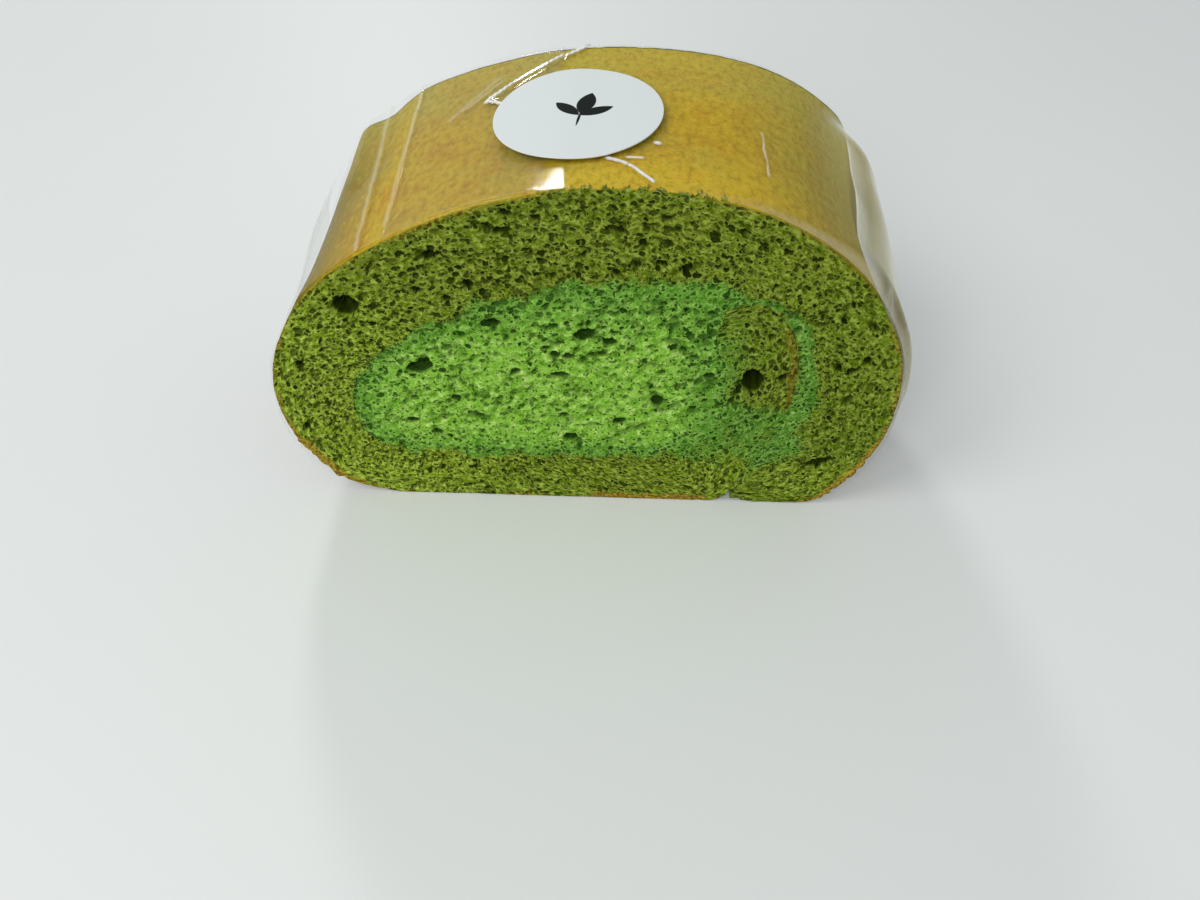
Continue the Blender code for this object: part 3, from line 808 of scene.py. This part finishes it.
def cut_face(f, flow, middle):
    """Colour and height of a cut face: open crumb, yellow-green or emerald. Painted shade darkens its pores,
    pits and hollows, painted highlight lightens its pale walls, pore rims and crests, and painted light its
    left side.

    flow is a place in millimetres with its first measure along the grain, and middle goes to 1 in the airy
    middle of the cream.
    """
    place, across, up = f.section()
    pit, green, loose = f.read("pit"), f.read("green"), f.read("open")
    wavy = f.shift(flow, f.noise(flow, 0.8, 1.0, out="Color"), 0.9)
    wavy = f.shift(wavy, f.noise(flow, 2.6, 1.0, out="Color"), 0.34)
    patch = f.noise(place, 0.28, 2.0)
    broad = f.noise(place, 0.11, 3.0)
    grain = f.noise(f.scale(wavy, (0.7, 1.0, 1.0)), 1.5, 5.0, 0.66)
    wide = loose * patch.rise(0.22, 0.6)
    # left: the crumb's left side, painted lighter as painted light from that side; small pores are more
    # common there too
    left = (1 - across.rise(-36.0, -8.0)) * (1 - up.rise(36.0, 52.0))
    low = 1 - up.rise(9.0, 15.0)
    large, large_bowl, large_rim_highlight = f.pores(f.scale(wavy, (0.66, 1.0, 0.8)), 0.95, 0.52,
                                           wide * (1 - 0.3 * middle))
    small, small_bowl, small_rim_highlight = f.pores(f.shift(wavy, (3.7, 1.9, 5.3), 1.0), 1.35, 0.46,
                                           (1 - 0.25 * wide + 0.25 * left.most(low)) * (1 - 0.45 * middle))
    hole_shade = large.most(0.95 * small)
    bowl = large_bowl.most(0.6 * small_bowl)
    # painted highlight: rim is a pale ring round each pore, laid on the crumb and the cream below
    rim = large_rim_highlight.most(0.8 * small_rim_highlight) * (1 - hole_shade)

    # painted light: left * 0.6 lightens the crumb's left side, and its crests there are lighter still
    crumb = f.layers((0.150, 0.252, 0.008), (broad.rise(0.35, 0.65), (0.195, 0.280, 0.012)),
                     (up.rise(38.0, 54.0) * 0.6, (0.190, 0.250, 0.012)), (left * 0.6, (0.270, 0.400, 0.016)),
                     # painted shade in the grain's hollows and painted highlight on its crests, which follow
                     # the bump
                     (1 - grain.rise(0.36, 0.50), (0.060, 0.105, 0.002)),
                     (grain.rise(0.49, 0.63) * 0.85, f.mix(left, (0.47, 0.58, 0.090), (0.58, 0.75, 0.130))),
                     # painted highlight: pale rims round the pores
                     (0.45 * rim, (0.48, 0.59, 0.090)))
    # painted light: the crumb is darkened everywhere except on its left, painted as lit, and in its lowest
    # layer
    left_light_and_tone = f.mix(low.most(0.5 * left), (0.76, 0.77, 0.76), (1.0, 1.0, 1.0))
    crumb = f.mix(1.0, crumb, left_light_and_tone, "MULTIPLY")
    streak = f.noise(f.scale(wavy, (0.8, 1.0, 1.0)), 1.0, 5.0, 0.72)
    cream = f.layers((0.105, 0.285, 0.026), (across.rise(20.0, 26.0), (0.085, 0.225, 0.022)),
                     (middle, (0.300, 0.640, 0.056)),
                     # painted shade in the streaks' hollows and painted highlight on their crests, which
                     # follow the bump
                     (0.85 - 0.85 * streak.rise(0.34, 0.49), (0.040, 0.170, 0.001)),
                     (streak.rise(0.50, 0.64) * (0.25 + 0.7 * middle), (0.64, 0.93, 0.240)),
                     # painted highlight: pale rims round the pores
                     (0.4 * rim, (0.44, 0.78, 0.130)))
    colour = f.mix(green, crumb, cream)
    # painted shade: pores and pits are darkened, to near black where they are deepest
    dark = (0.95 * hole_shade).most(pit.rise(0.10, 0.95) * 0.9).most(pit.rise(2.0, 5.0))
    pore_shade_colour = f.mix(green, (0.010, 0.020, 0.0005), (0.008, 0.055, 0.002))
    colour = f.mix(dark, colour, f.mix(pit.rise(2.0, 5.0), pore_shade_colour, (0.001, 0.004, 0.001)))
    height = (1 - bowl) * 1.4 + 0.9 * grain + 1.5 * streak * middle - 1.8
    return colour, height


def crumb_finish():
    """Cut crumb with a brown line along its edge, and the golden crust under the film.

    The crust is paler at the back, brighter on top at the front and darker towards the far left. Painted
    shade darkens its right side, and low down where it turns down at both sides. On top green crumbs are
    dragged over it by a few millimetres, with a painted shadow along their edge.
    """
    f = Finish("crumb and crust", Roughness=0.9, Specular_IOR_Level=0.03)
    place, across, up = f.section()
    brown_line, to_crust, sheet = f.read("brown"), f.read("to_crust"), f.read("sheet", out="Vector")
    back = f.split(sheet)[2]
    colour, height = cut_face(f, sheet, 0.0)

    grain = f.noise(place, 2.0, 4.0, 0.65)
    brown = f.mix(grain.rise(0.38, 0.62), (0.20, 0.100, 0.007), (0.56, 0.390, 0.050))
    bright = across.rise(-10.0, 2.0) * (1 - across.rise(20.0, 34.0)) * (1 - back.rise(3.0, 14.0))
    mottle = f.noise(f.scale(sheet, (1.0, 1.0, 0.6)), 1.1, 6.0, 0.66)
    # painted shade where the crust turns down at the sides, reaching higher on the right
    lower = up - 5.0 * across.rise(30.0, 44.0)
    gold = f.layers((0.60, 0.400, 0.012), (f.noise(sheet, 0.05, 2.0).rise(0.35, 0.65), (0.50, 0.390, 0.036)),
                    (0.6 * f.noise(sheet, 0.16, 4.0, 0.6).rise(0.42, 0.66), (0.54, 0.280, 0.006)),
                    # painted shade: duller and darker towards the right, where the crust turns from the light
                    (across.rise(14.0, 46.0) * 0.75, (0.36, 0.310, 0.030)),
                    ((1 - across.rise(-42.0, -26.0)) * 0.9, (0.125, 0.100, 0.009)),
                    (back.rise(18.0, 43.0) * 0.5, (0.56, 0.470, 0.070)),
                    (0.45 * bright, (0.80, 0.540, 0.012)),
                    (0.38 * (1 - mottle.rise(0.36, 0.53)), (0.22, 0.140, 0.006)),
                    (0.32 * mottle.rise(0.52, 0.68), (0.78, 0.590, 0.070)),
                    (0.30 * f.noise(sheet, 2.3, 4.0, 0.65).rise(0.54, 0.66), (0.17, 0.100, 0.008)),
                    # painted shade low down at the sides
                    ((1 - lower.rise(33.0, 43.0)) * 0.8, (0.070, 0.055, 0.005)))
    dragged = across.rise(-6.0, -2.0) * (1 - across.rise(18.0, 23.0)) * up.rise(50.0, 56.0)
    reach = back + 9.0 * f.noise(f.scale(place, (1.0, 0.25, 0.25)), 1.2, 4.0, 0.6) - 4.7
    outer = f.layers(gold, (1 - back.rise(0.1, 0.9), brown),
                     # painted shadow: a dark line along the edge of the dragged crumbs
                     (0.7 * dragged * (1 - reach.rise(0.6, 1.0)), (0.100, 0.085, 0.006)),
                     (dragged * (1 - reach.rise(0.4, 0.6)), colour))
    inside = across.rise(26.0, 28.0) * (1 - across.rise(35.0, 37.0))
    shown = (0.85 - 0.4 * inside) * (1 - 0.4 * up.rise(14.0, 30.0) * (1 - inside))
    f.set(Base_Color=f.layers(colour, (brown_line * shown, f.mix(inside, brown, (0.20, 0.110, 0.012))),
                              (1 - to_crust.rise(-0.95, -0.05), outer)))
    skin = 0.3 * f.noise(sheet, 1.3, 3.0, 0.6)
    f.set(Normal=f.bump(height * to_crust.rise(-0.5, 0.0) + skin))
    return f.material


def cream_finish():
    """Green cream: an emerald rim, and a paler, airier and yellower middle."""
    f = Finish("green cream", Roughness=0.8, Specular_IOR_Level=0.06)
    place, across, up = f.section()
    inward = f.read("inward") + 4.5 * f.noise(place, 0.2, 3.0) - 2.2
    middle = inward.rise(0.8, 6.5) * (1 - 0.75 * up.rise(31.0, 45.0))
    middle = middle * (1 - 0.85 * across.rise(12.0, 21.0)) * (0.35 + 0.65 * across.rise(-35.0, -24.0))
    flow = f.node("ShaderNodeMapping", {"vector_type": "TEXTURE"}, Vector=place, Rotation=(0.0, -0.5, 0.0))
    colour, height = cut_face(f, flow, middle)
    f.set(Base_Color=colour, Normal=f.bump(height))
    return f.material


def film_finish():
    """Clear stiff film: a faint mirror, milky at its front lip, and hazy where it stands off the crust.

    The haze is pale on the left, takes on the crust's colour on the right as a painted reflection, and grows
    as the film turns away.
    The faint creases are pale gold, partly milky and partly painted sheen, and the others painted white
    glints with crisp edges, each 0 past its width.
    """
    f = Finish("clear film", Roughness=0.06)
    away, lip, flat = f.read("away"), f.read("lip"), f.read("flat", out="Vector")
    flat = f.shift(flat, f.noise(flat, 0.35, 1.0, out="Color"), 0.6)
    across, back, _ = f.split(f.shift(flat, (-0.5, -0.5, 0.0), 0.6))

    faint = painted_glint = 0.0
    for *line, _, wide, white in CREASES:
        length, along, aside = beside_line(*line, across, back)
        ends = along.rise(-0.4, 0.4) * (1 - along.rise(length - 0.5, length + 0.3))
        crisp = white > GLINT_WHITE
        drawn = white * ends * (1 - (aside * aside).rise(0.35 * wide ** 2 if crisp else 0.0, wide ** 2))
        faint, painted_glint = (faint, drawn.most(painted_glint)) if crisp else (drawn.most(faint), painted_glint)
    faint, painted_glint = faint * f.read("top"), painted_glint * f.read("top")
    slant = f.node("ShaderNodeLayerWeight", {}, Blend=0.5, out="Facing")
    right = f.split(f.place())[0].rise(-0.01, 0.01)
    mirror = 0.02 + 0.25 * slant ** 7.0
    turned = 0.90 * slant ** 11.0 * (1 - right) + (0.05 + 0.90 * slant ** 3.0) * right
    cloudy = (away * turned + 0.012 * f.read("double")).most(faint).most(0.2 * lip).most(painted_glint)
    polish = mirror / (mirror + cloudy)
    # painted reflection: on the right the film's haze takes the crust's colour
    tint = f.layers((0.86, 0.88, 0.80), (right, (0.64, 0.57, 0.180)),
                    # faint creases: pale gold, partly milky line and partly painted sheen
                    (faint.rise(0.0, 0.2).most(lip), (0.88, 0.79, 0.50)),
                    # painted glint: the brightest creases are drawn white
                    (painted_glint.rise(0.0, 0.4), (0.95, 0.96, 0.94)), (polish, (0.95, 0.97, 0.97)))
    f.set(Metallic=polish, Alpha=(mirror + cloudy).least(0.97), Base_Color=tint)
    return f.material


def seal_finish():
    """Coated white paper with a plain sprig of leaves printed in dark ink."""
    f = Finish("white paper", Roughness=0.6, Specular_IOR_Level=0.05)
    x, y, _ = f.split(f.read("place", out="Vector"))

    def leaf(across, up, turn, long, wide):
        """1 inside a leaf: where two equal circles, one each side of its rib, overlap."""
        turn = math.radians(turn)
        run = (x - across) * math.cos(turn) + (y - up) * math.sin(turn)
        aside = (y - up) * math.cos(turn) - (x - across) * math.sin(turn)
        radius = (long * long + wide * wide) / (4 * wide)
        run = run - long / 2
        offset = radius - wide / 2
        one, two = ((run * run + far * far) ** 0.5 for far in (aside - offset, aside + offset))
        return 1 - one.most(two).rise(radius - 0.06, radius + 0.06)

    sprig = 0.0
    for shape in ((0.4, -1.0, 78.0, 6.4, 2.6), (0.2, -1.4, 28.0, 5.4, 2.1), (0.2, -1.4, 132.0, 5.2, 2.1),
                  (0.0, -4.6, 84.0, 4.6, 0.4)):
        sprig = leaf(*shape).most(sprig)
    f.set(Base_Color=f.mix(sprig, (0.74, 0.79, 0.78), (0.004, 0.008, 0.007)))
    return f.material


def make_floor():
    """A broad pale ground, well past what the camera sees."""
    f = Finish("pale ground", Roughness=0.55)
    f.set(Base_Color=f.mix(f.noise(f.place(), 9.0, 4.0), (0.79, 0.815, 0.80), (0.83, 0.85, 0.835)))
    corners = 3.0 * np.array([(-1, -1, 0), (1, -1, 0), (1, 1, 0), (-1, 1, 0)])
    floor = add_mesh("ground", corners, np.array([[0, 1, 2, 3]]), f.material)


def aim(thing, at, forward, up):
    """Turns a camera or light at a place to look along forward."""
    forward = np.array(forward) / np.linalg.norm(forward)
    right = np.cross(forward, up)
    right /= np.linalg.norm(right)
    upward = np.cross(right, forward)
    thing.matrix_world = Matrix([(*row, place) for row, place in zip(zip(right, upward, -forward), at)]
                                + [(0, 0, 0, 1)])


def add_light(name, at, target, size, power, colour=(1.0, 1.0, 1.0)):
    """A rectangular lamp that faces its target."""
    light = bpy.data.lights.new(name, "AREA")
    light.shape = "RECTANGLE"
    light.size, light.size_y = size
    light.energy = power
    light.color = colour
    lamp = bpy.data.objects.new(name, light)
    bpy.context.scene.collection.objects.link(lamp)
    aim(lamp, at, np.subtract(target, at), (0.0, 0.0, 1.0))


# The photo's camera, from the middle of the slice's front base line, in millimetres and degrees
CAMERA_AT = (10.5, -102.1, 127.4)
CAMERA_DOWN, CAMERA_HEADING, CAMERA_ROLL = 48.4, 4.04, 1.48
LENS = 27.75


def make_camera():
    """Looks along its heading, tipped down and rolled, with a lens as the photo's."""
    down, heading, roll = (math.radians(angle) for angle in (CAMERA_DOWN, CAMERA_HEADING, CAMERA_ROLL))
    level = np.array([math.cos(heading), math.sin(heading), 0.0])
    ahead = np.array([-math.sin(heading), math.cos(heading), 0.0])
    forward = math.cos(down) * ahead - math.sin(down) * np.array([0.0, 0.0, 1.0])
    upward = np.cross(level, forward)
    tilted = math.sin(roll) * level + math.cos(roll) * upward
    camera = bpy.data.objects.new("camera", bpy.data.cameras.new("camera"))
    camera.data.lens = LENS
    camera.data.sensor_width = 36.0
    camera.data.clip_start = 0.01
    bpy.context.scene.collection.objects.link(camera)
    at = (np.array(CAMERA_AT) + (SHIFT, FRONT, BASE)) * MM
    aim(camera, at, forward, tilted)
    bpy.context.scene.camera = camera


def make_light():
    """A pale sky, two broad lamps from the front, and a far window that glints in the film."""
    world = bpy.data.worlds.new("soft studio")
    world.use_nodes = True
    sky = world.node_tree.nodes["Background"]
    sky.inputs["Color"].default_value = (0.93, 0.97, 1.0, 1.0)
    sky.inputs["Strength"].default_value = 0.40
    bpy.context.scene.world = world
    add_light("broad key", (-0.55, -0.30, 0.75), (0.0, 0.0, 0.03), (0.4, 0.4), 2.2, (1.0, 0.98, 0.95))
    add_light("front fill", (-0.20, -0.75, 0.60), (0.0, 0.0, 0.02), (0.5, 0.5), 4.0)
    add_light("far window", (-0.265, 0.86, 0.57), (0.0, 0.0, 0.06), (0.12, 0.16), 2.2)
    bpy.context.scene.view_settings.view_transform = "Standard"


def dress():
    """Makes every piece in its solid's place, then the ground and the light."""
    make_camera()
    sponge = make_sponge(crumb_finish())
    cream = make_cream(cream_finish())
    film = make_film(film_finish())
    seal = make_seal(seal_finish())
    for piece, node, slot in ((sponge, "sponge", "crumb"), (cream, "cream", "filling"),
                              (film, "film", "clear_film"), (seal, "seal", "paper")):
        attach(piece, "root")
        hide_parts(node)
    make_floor()
    make_light()


dress()
